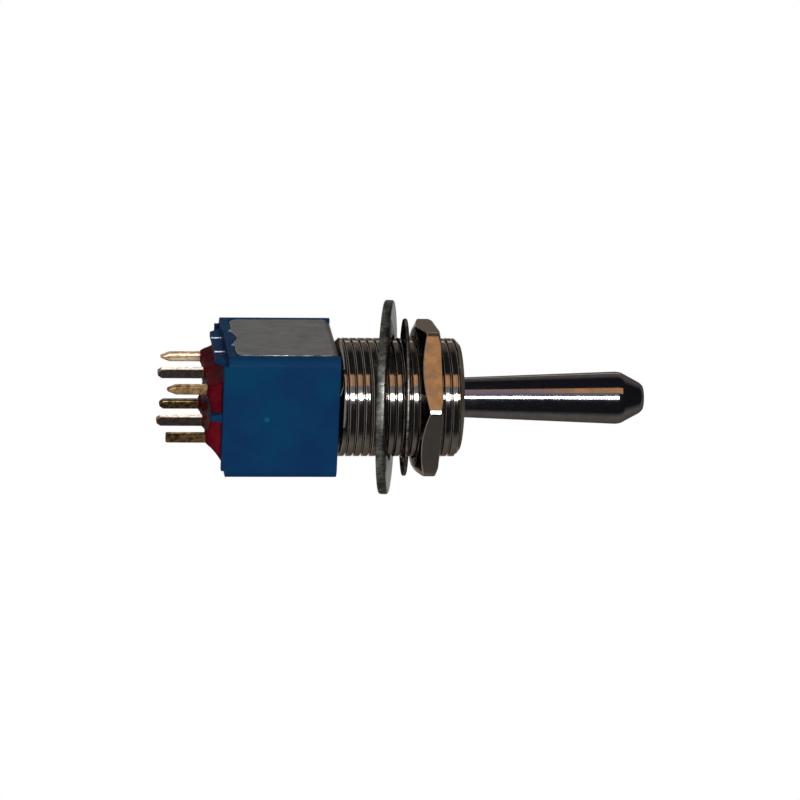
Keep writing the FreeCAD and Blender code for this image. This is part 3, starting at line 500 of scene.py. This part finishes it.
def makeBushing():
    form = bushingForm
    shape = threadForm(form)
    steps, pitch, length = form["steps"], form["pitch"], form["length"]
    endRadius = form["crest"] - form["chamfer"]
    bm = bmesh.new()
    rows = []
    for turn in range(-1, math.ceil(length / pitch) + 2):
        for share, drop in shape:
            row = []
            for i in range(steps + 1):
                height = min(max((turn + share + i / steps) * pitch, 0.0), length)
                radius = min(form["crest"] - drop, endRadius + (length - height), endRadius + height)
                angle = 2 * math.pi * i / steps
                row.append(bm.verts.new((radius * math.cos(angle), radius * math.sin(angle), height)))
            rows.append(row)
    for low, high in zip(rows, rows[1:]):
        for i in range(steps):
            heights = [v.co.z for v in (low[i], low[i + 1], high[i], high[i + 1])]
            if max(heights) - min(heights) > 1e-6:
                bm.faces.new((low[i], low[i + 1], high[i + 1], high[i]))
    throat, throatTop = form["throat"], form["throatTop"]
    across, along = form["mouthSoft"]
    inner = [(endRadius, length), (endRadius - form["faceSoft"], length),
             (form["mouth"] + across, length), (form["mouth"], length - along),
             (throat, throatTop + form["throatLength"]), (throat, throatTop),
             (form["socket"], throatTop - form["socketFall"]), (form["socket"], form["lipEnd"]),
             (form["lip"], form["lipEnd"]), (form["lip"], form["lipTop"]), (form["spigot"], form["lipTop"]),
             (form["spigot"], 0.0), (endRadius, 0.0)]
    joinRings(bm, ringsOf(bm, inner, steps), False)
    closePiece(bm, "threadedBushing", "bushing", [finishes["thread"]], 40)


# Panel hardware

panelWasherForm = {"outer": 9.75, "bore": 6.2, "thick": 0.95, "height": 5.4, "tilt": 10.3, "lean": -11,
                   "rollover": 0.28, "rolloverSteps": 4, "faceSkin": 0.02, "steps": 200}


def makePanelWasher():
    form = panelWasherForm
    bore, outer, half = form["bore"], form["outer"], form["thick"] / 2
    outline = softened([(bore, -half), (outer, -half), (outer, half), (bore, half)],
                       form["rollover"], form["rolloverSteps"])
    onRim = {index for index, point in enumerate(outline) if abs(point[1]) < half - form["faceSkin"]}
    rim = {index for index in range(len(outline)) if index in onRim or (index + 1) % len(outline) in onRim}
    bm = bmesh.new()
    joinRings(bm, ringsOf(bm, outline, form["steps"]), True, rim)
    closePiece(bm, "panelWasher", "panel_washer", [finishes["washerFace"], finishes["washerRim"]],
               tilt=form["tilt"], lean=form["lean"], lift=form["height"])


lockWasherForm = {"outer": 7.9, "ring": 6.9, "tip": 6.12, "thick": 0.4, "edge": 0.17, "edgeFrom": 60,
                  "teeth": 12, "toothWidth": 0.95, "twist": 22, "height": 7.2, "tilt": 4.0, "lean": -16,
                  "toothReaches": (0.25, 0.5, 0.75, 1.0), "toothSteps": 3, "ringSteps": 8}


def makeLockWasher():
    # a flat ring with teeth that twist as they reach inwards, then given its thickness
    form = lockWasherForm
    outer, inner, twist = form["outer"], form["ring"], math.tan(math.radians(form["twist"]))
    pitch = 2 * math.pi / form["teeth"]
    toothHalf = math.asin(form["toothWidth"] / 2 / inner)
    toothSteps, ringSteps = form["toothSteps"], form["ringSteps"]
    across = [toothHalf * (k / toothSteps) for k in range(-toothSteps, toothSteps + 1)]
    between = [toothHalf + (pitch - 2 * toothHalf) * k / ringSteps for k in range(1, ringSteps)]
    bm = bmesh.new()
    columns = []
    for tooth in range(form["teeth"]):
        middle = tooth * pitch
        for local in across + between:
            angle = middle + local
            column = [bm.verts.new((r * math.cos(angle), r * math.sin(angle), 0))
                      for r in (outer, (outer + inner) / 2, inner)]
            if local <= toothHalf + 1e-9:
                side = inner * math.sin(local)
                for reach in form["toothReaches"]:
                    along = inner * math.cos(local) * (1 - reach) + form["tip"] * reach
                    rise = side * twist * min(1.0, reach * 2)    # a tooth's outer half has the full twist
                    column.append(bm.verts.new((along * math.cos(middle) - side * math.sin(middle),
                                                along * math.sin(middle) + side * math.cos(middle), rise)))
            columns.append(column)
    for here, there in zip(columns, columns[1:] + columns[:1]):
        for k in range(min(len(here), len(there)) - 1):
            bm.faces.new((here[k], here[k + 1], there[k + 1], there[k]))
    piece = closePiece(bm, "lockWasher", "lock_washer", [finishes["lockFace"], finishes["lockRim"]],
                       tilt=form["tilt"], lean=form["lean"], lift=form["height"])
    stock = piece.modifiers.new("stock", "SOLIDIFY")
    stock.thickness, stock.offset, stock.material_offset_rim = form["thick"] * mm, 0, 1
    bevel = piece.modifiers.new("stampedEdges", "BEVEL")
    bevel.width, bevel.segments, bevel.limit_method = form["edge"] * mm, 3, "ANGLE"
    bevel.angle_limit = math.radians(form["edgeFrom"])
    piece.modifiers.new("evenShading", "WEIGHTED_NORMAL")


nutForm = {"flats": 14.6, "thick": 2.1, "height": 8.1, "turn": 20, "bore": 5.97, "lead": 0.3,
           "innerStart": 7.0, "outerStart": 7.85, "slope": 27,    # chamfers: where each starts, their angle
           "cornerSoft": 0.09, "softShare": 0.3, "cornerPower": 400, "crease": (0.02, 0.05, 0.01),
           "wornTurn": 11.2, "wornCut": 0.12,    # each corner's flat strip: degrees off the corner, and mm
           "perSide": 60}


def nutWall(form):
    # how far out the nut's side is at each angle: six flats and six narrow worn strips
    flat = form["flats"] / 2
    planes = [(math.radians(30 + 60 * k), flat) for k in range(6)]
    worn = math.radians(form["wornTurn"])
    strip = flat / math.cos(math.radians(30)) * math.cos(worn) - form["wornCut"]
    planes += [(math.radians(60 * k) - worn, strip) for k in range(6)]
    power = form["cornerPower"]
    wall = []
    for i in range(6 * form["perSide"]):
        angle = 2 * math.pi * i / (6 * form["perSide"])
        nearest = [flat / far * math.cos(angle - facing) for facing, far in planes]
        wall.append((angle, flat / sum(max(c, 0) ** power for c in nearest) ** (1 / power)))
    return wall


def makeHexNut():
    form = nutForm
    slope, soft, thick = math.tan(math.radians(form["slope"])), form["cornerSoft"], form["thick"]
    bore, lead, inner, outer = form["bore"], form["lead"], form["innerStart"], form["outerStart"]
    bit = soft * form["softShare"]
    outerCrease, innerCrease, least = form["crease"]
    wall = nutWall(form)
    bm = bmesh.new()

    def low(radius):
        return max(0.0, radius - inner) * slope

    def high(radius):
        return thick - max(0.0, radius - outer) * slope

    def ring(radiusOf, heightOf):
        made = []
        for angle, reach in wall:
            radius = radiusOf(reach)
            made.append(bm.verts.new((radius * math.cos(angle), radius * math.sin(angle), heightOf(radius))))
        return made

    rows = [ring(lambda r: bore, lambda r: lead),
            ring(lambda r: bore, lambda r: thick - lead),
            ring(lambda r: bore + lead, lambda r: thick),
            ring(lambda r: min(outer, r - soft) - outerCrease, high),
            ring(lambda r: r - soft, high),
            ring(lambda r: r - bit, lambda r: high(r) - bit),
            ring(lambda r: r, lambda r: high(r) - soft),
            ring(lambda r: r, lambda r: low(r) + soft),
            ring(lambda r: r - bit, lambda r: low(r) + bit),
            ring(lambda r: r - soft, low),
            ring(lambda r: min(inner + innerCrease, r - soft - least), low),
            ring(lambda r: inner - innerCrease, low),
            ring(lambda r: bore + lead, low)]
    joinRings(bm, rows, True)
    nut = closePiece(bm, "hexNut", "hex_nut", [finishes["nut"]], 12, turn=form["turn"], lift=form["height"])
    nut.modifiers.new("flatSides", "WEIGHTED_NORMAL").keep_sharp = True


# Moulded and stamped pieces: the frame's own solids with their edges broken as on the real ones

dressing = {"flatWithin": 1.0, "cornerFrom": 38, "sharp": 30}       # degrees


def dressNode(node, name, materials, edge, segments=2, plainEdges=None, brightFaces=None, wornAndGlintEdges=False,
              reshape=None):
    # plainEdges tells which corners stay crisp, brightFaces which faces have the second material, and with
    # the edge flag all the softened corners have it too: on the frame, bright bare metal that is partly a
    # painted glint
    source = frame["nodes"][node]
    bm = bmesh.new()
    bm.from_mesh(source.data)
    bmesh.ops.transform(bm, matrix=source.matrix_world, verts=bm.verts)
    if reshape:
        for point in bm.verts:
            reshape(point)
    bmesh.ops.remove_doubles(bm, verts=bm.verts, dist=1e-6)
    bmesh.ops.dissolve_limit(bm, angle_limit=math.radians(dressing["flatWithin"]), verts=bm.verts,
                             edges=bm.edges)
    soft = bm.edges.layers.float.new("bevel_weight_edge")
    for line in bm.edges:
        corner = len(line.link_faces) == 2 and line.calc_face_angle(0) > math.radians(dressing["cornerFrom"])
        middle = (line.verts[0].co + line.verts[1].co) / 2 / mm
        if corner and not (plainEdges and plainEdges(middle)):
            line[soft] = 1.0
    bm.normal_update()
    for face in bm.faces:
        if brightFaces and brightFaces(face.calc_center_median() / mm, face.normal):
            face.material_index = 1
    piece = standIn(bm, name, node, materials, dressing["sharp"])
    if edge:
        bevel = piece.modifiers.new("brokenEdges", "BEVEL")
        bevel.width, bevel.segments, bevel.limit_method = edge * mm, segments, "WEIGHT"
        bevel.use_clamp_overlap = False
        bevel.material = 1 if wornAndGlintEdges else -1
        piece.modifiers.new("evenShading", "WEIGHTED_NORMAL").keep_sharp = True
    return piece


caseForm = {
    "edge": 0.07, "gate": (0.0, -7.2, 0.6), "frontWall": -6.4, "legEnd": -10.3,
    "grooves": (1.5, 2.5), "grooveSide": -5.0, "grooveEnd": -11.0,
    "lugFace": (-5.8, -5.3), "lugHalf": 4.95, "lugStart": -11.1, "lugShift": 0.25,
}
frameForm = {"edge": 0.10, "leg": 5.0, "notch": 1.17, "notchShare": 0.3, "fingers": -10.4}


def aroundGate(middle):
    x, z, reach = caseForm["gate"]
    return middle.y < caseForm["frontWall"] and math.hypot(middle.x - x, middle.z - z) < reach


def grooveWalls(middle, normal):
    # the sides of the lug's two grooves that face the front wall; their pale blue is a painted highlight
    near, far = caseForm["grooves"]
    onLug = middle.x < caseForm["grooveSide"] and middle.z < caseForm["grooveEnd"]
    return onLug and near < abs(middle.y) < far and normal.y < -0.9


# the clinch fingers take the bright edge metal, a painted glint where they catch the light
def legFingers(middle, normal):
    return middle.z < frameForm["fingers"]


def shallowNotch(point):
    # the half-round notch in each leg's end, and the case's boss in it, are flatter than the solids'
    end, reach = caseForm["legEnd"] * mm, frameForm["notch"] * mm
    if abs(point.co.y) < reach and abs(point.co.x) > frameForm["leg"] * mm and end < point.co.z < end + reach:
        point.co.z = end + (point.co.z - end) * frameForm["notchShare"]


def caseFlow(point):
    # besides the notch's boss, the lug's outer face lies a little further in than the solid's
    shallowNotch(point)
    x, y, z = point.co / mm
    low, high = caseForm["lugFace"]
    if low < x < high and abs(y) < caseForm["lugHalf"] and z < caseForm["lugStart"]:
        point.co.x += caseForm["lugShift"] * mm


# how round each pin's corners are: drawn wire pressed flat
bladeForm = {
    "edge": 0.16, "caseEnd": -11.0,
    "edges": {"terminal_left_rear": 0.22, "terminal_left_common": 0.05, "terminal_right_common": 0.05},
}


def insideCase(middle):
    # only the part outside the case is dressed
    return middle.z > bladeForm["caseEnd"]


# Resin: depths below the frame's face, by the side of the case (-1 is the lug's)

resinForm = {
    "wall": 5.6, "wallDepth": {-1: 11.13, 1: 11.2}, "fin": 0.45, "finDepth": 12.74, "floor": 9.1,
    "ends": 5.8, "endShare": 0.4,
    "row": 2.54, "ridgeHalf": 0.55, "ridgeEnd": 5.1, "ridgeDepth": 12.95,
    "innerSlope": 1.6, "outerSlope": {-1: 4.5, 1: 1.45},        # steep on the lug's side
    "pins": (-4.7, 0.0, 4.7), "pinHalf": (0.475, 0.4), "creep": 0.16, "creepReach": 0.22,
    "across": 44, "along": 110, "wave": 0.05,
}


def resinDepth(form, side, x, y):
    # how far the resin stands out at a place: a ridge along the row, hollow flanks, and a little
    # creep up each pin
    offRow = abs(x - form["row"])
    outer = x > form["row"]
    reach = (form["wall"] - form["row"] if outer else form["row"] - form["fin"]) - form["ridgeHalf"]
    share = min(max((offRow - form["ridgeHalf"]) / reach, 0.0), 1.0)
    past = min(max((abs(y) - form["ridgeEnd"]) / (form["ends"] - form["ridgeEnd"]), 0.0), 1.0)
    flank = (1 - share) ** (form["outerSlope"][side] if outer else form["innerSlope"])
    end = form["endShare"] + (1 - form["endShare"]) * math.sqrt(1 - past ** 2)
    wallDepth = form["wallDepth"][side]
    base = wallDepth + (0.0 if outer else (form["finDepth"] - wallDepth) * end)
    depth = base + (form["ridgeDepth"] - base) * flank * end
    for pin in form["pins"]:
        gap = math.hypot(max(offRow - form["pinHalf"][0], 0.0), max(abs(y - pin) - form["pinHalf"][1], 0.0))
        depth += form["creep"] * math.exp(-gap / form["creepReach"])
    ripple = math.sin(1.9 * y + 2.3 * x) + math.sin(3.1 * y - 1.7 * x + 1.0)      # an uneven pour
    return depth + form["wave"] * ripple * (1 - share) * 0.5


def makeResin():
    form = resinForm
    fin, wall, floor, across, along = form["fin"], form["wall"], form["floor"], form["across"], form["along"]
    bm = bmesh.new()
    for side in (-1, 1):
        rows = []
        for i in range(along + 1):
            y = form["ends"] * math.sin(math.radians(-90 + 180 * i / along))
            row = [bm.verts.new((side * fin, y, -floor))]
            for k in range(across + 1):
                x = fin + (wall - fin) * k / across
                row.append(bm.verts.new((side * x, y, -resinDepth(form, side, x, y))))
            row.append(bm.verts.new((side * wall, y, -floor)))
            rows.append(row)
        for low, high in zip(rows, rows[1:]):
            for k in range(len(low) - 1):
                bm.faces.new((low[k], low[k + 1], high[k + 1], high[k]))
            bm.faces.new((low[-1], low[0], high[0], high[-1]))
        for row in (rows[0], rows[-1]):
            bm.faces.new(row)
    closePiece(bm, "resinFill", "epoxy_seal", [finishes["resin"]], 45)


makeLever()
makeBushing()
makePanelWasher()
makeLockWasher()
makeHexNut()
print("turned and stamped hardware made")

dressNode("housing", "caseMoulding", [finishes["housing"], finishes["paintedGlintBlue"]], caseForm["edge"],
          plainEdges=aroundGate, brightFaces=grooveWalls, reshape=caseFlow)
dressNode("frame", "frameStrip", [finishes["frame"], finishes["frameEdgeAndGlint"]], frameForm["edge"], 3,
          brightFaces=legFingers, wornAndGlintEdges=True, reshape=shallowNotch)
for node in frame["nodes"]:
    if node.startswith("terminal"):
        finish = finishes["common" if node.endswith("common") else node]
        dressNode(node, node + "_blade", [finish], bladeForm["edges"].get(node, bladeForm["edge"]), 3,
                  plainEdges=insideCase)
makeResin()
print("case, frame, terminals and resin made")


# Inner pieces: the frame's own solids, only coloured, and the springs

hiddenFinish = {
    "lever_pivot_pin": "steel", "lever_seal": "rubber", "actuator": "nylon",
    "plunger_left": "nylon", "plunger_right": "nylon", "rocker_left": "contact", "rocker_right": "contact",
}
for node, finish in hiddenFinish.items():
    data = frame["nodes"][node].data
    data.materials.clear()
    data.materials.append(finishes[finish])

for side in ("left", "right"):
    # each spring is the frame's own solid, with a mesh of its own
    node = "plunger_spring_" + side
    spring = dressNode(node, "spring_" + side, [finishes["steel"]], 0)
    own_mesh(spring)
print("inner pieces coloured")


# Studio: a dim room, a small strong lamp beside the camera, a warm card above it, a pale floor and backdrop

studio = {
    "rear": (0.33, 0.30, 0.27), "front": (0.030, 0.030, 0.036),
    "roomTurn": 12, "roomBlend": (-0.30, 0.12),     # degrees, and where the room goes from rear to front
    "key": {"angle": 0.0, "rise": 6.0, "away": 1.0, "high": 0.15, "wide": 0.32, "power": 10.0,
            "colour": (1.0, 0.98, 1.0)},
    "warm": {"angle": 32.0, "rise": 19.5, "away": 1.0, "high": 0.42, "wide": 0.5, "power": 1.1,
             "colour": (1.0, 0.5, 0.18)},
    "rose": {"angle": 32.0, "rise": -6.5, "away": 1.0, "high": 0.42, "wide": 0.42, "power": 0.42,
             "colour": (1.0, 0.71, 0.71)},
    "cool": {"angle": 15.0, "rise": 6.0, "away": 1.1, "high": 0.16, "wide": 0.4, "power": 0.12,
             "colour": (0.6, 0.68, 1.0)},
    "edge": {"angle": 138.4, "rise": 7.0, "away": 1.0, "high": 0.16, "wide": 0.4, "power": 0.26,
             "colour": (0.95, 0.97, 1.0)},
    "ceiling": {"angle": 0.0, "rise": 89.9, "away": 1.2, "high": 1.5, "wide": 1.5, "power": 10.5,
                "colour": (1.0, 1.0, 1.0)},
    "floor": -17.7, "floorSize": 3.0, "floorTone": (0.82, 0.82, 0.82),
    "backdrop": (180, 7, 0.55), "backdropSize": 0.30, "backdropTone": (0.85, 0.85, 0.85),
}


def addLamp(name, look):
    data = bpy.data.lights.new(name, "AREA")
    data.shape = "RECTANGLE"
    data.size, data.size_y = look["wide"], look["high"]
    data.energy = look["power"]
    data.color = look["colour"]
    lamp = bpy.data.objects.new(name, data)
    bpy.context.scene.collection.objects.link(lamp)
    out = aroundAxis(look["angle"], look["rise"])
    side = (axisUp - out * axisUp.dot(out)).normalized()
    turned = Matrix([side, out.cross(side), out]).transposed()
    lamp.matrix_world = Matrix.Translation(out * look["away"]) @ turned.to_4x4()
    return lamp


def makeWorld():
    world = bpy.data.worlds.new("dimRoom")
    bpy.context.scene.world = world
    world.use_nodes = True
    tree = world.node_tree
    place = tree.nodes.new("ShaderNodeTexCoord")
    towards = tree.nodes.new("ShaderNodeVectorMath")
    towards.operation = "DOT_PRODUCT"
    tree.links.new(place.outputs["Generated"], towards.inputs[0])
    towards.inputs[1].default_value = aroundAxis(studio["roomTurn"], 0)
    shade = spread(tree, towards.outputs["Value"], *studio["roomBlend"], 0, 1)
    tree.links.new(mixColour(tree, shade, studio["rear"], studio["front"]),
                   tree.nodes["Background"].inputs["Color"])


def stageMaterial(name, colour, seenWhite):
    # a pale matte surface. The backdrop shows as plain white, in the object's metal too; the floor keeps its
    # shadow, and is left out when seen from below, as the camera stands in the photograph
    material, tree, shader = newMaterial(name)
    shader.inputs["Base Color"].default_value = (*colour, 1)
    shader.inputs["Roughness"].default_value = 0.9
    shader.inputs["Specular IOR Level"].default_value = 0.0
    if seenWhite:
        rays = tree.nodes.new("ShaderNodeLightPath")
        switch = combine(tree, "ADD", rays.outputs["Is Camera Ray"], rays.outputs["Is Glossy Ray"])
        switch = combine(tree, "ADD", switch, rays.outputs["Is Transmission Ray"])
        other = tree.nodes.new("ShaderNodeEmission")
        other.inputs["Strength"].default_value = 1.0
    else:
        switch = tree.nodes.new("ShaderNodeNewGeometry").outputs["Backfacing"]
        other = tree.nodes.new("ShaderNodeBsdfTransparent")
    mix = tree.nodes.new("ShaderNodeMixShader")
    tree.links.new(switch, mix.inputs[0])
    tree.links.new(shader.outputs[0], mix.inputs[1])
    tree.links.new(other.outputs[0], mix.inputs[2])
    tree.links.new(mix.outputs[0], tree.nodes["Material Output"].inputs["Surface"])
    return material


def addPlane(name, middle, along, across, half, material):
    mesh = bpy.data.meshes.new(name)
    corners = [middle + along * a + across * b
               for a, b in ((-half, -half), (half, -half), (half, half), (-half, half))]
    mesh.from_pydata([tuple(c) for c in corners], [], [(0, 1, 2, 3)])
    mesh.materials.append(material)
    plane = bpy.data.objects.new(name, mesh)
    bpy.context.scene.collection.objects.link(plane)


makeWorld()
for lampName in ("key", "warm", "rose", "cool", "edge"):
    addLamp(lampName + "Lamp", studio[lampName])
addLamp("ceilingLamp", studio["ceiling"]).visible_glossy = False    # it only lights the floor and plastic
addPlane("floor", Vector((0, 0, studio["floor"] * mm)), Vector((1, 0, 0)), Vector((0, 1, 0)),
         studio["floorSize"], stageMaterial("floorPaper", studio["floorTone"], False))
backdropAngle, backdropRise, backdropAway = studio["backdrop"]
outwards = aroundAxis(backdropAngle, backdropRise)
addPlane("backdrop", outwards * backdropAway, outwards.cross(viewUp), viewUp, studio["backdropSize"] / 2,
         stageMaterial("backdropPaper", studio["backdropTone"], True))
bpy.context.scene.view_settings.view_transform = "Standard"
print("studio set")
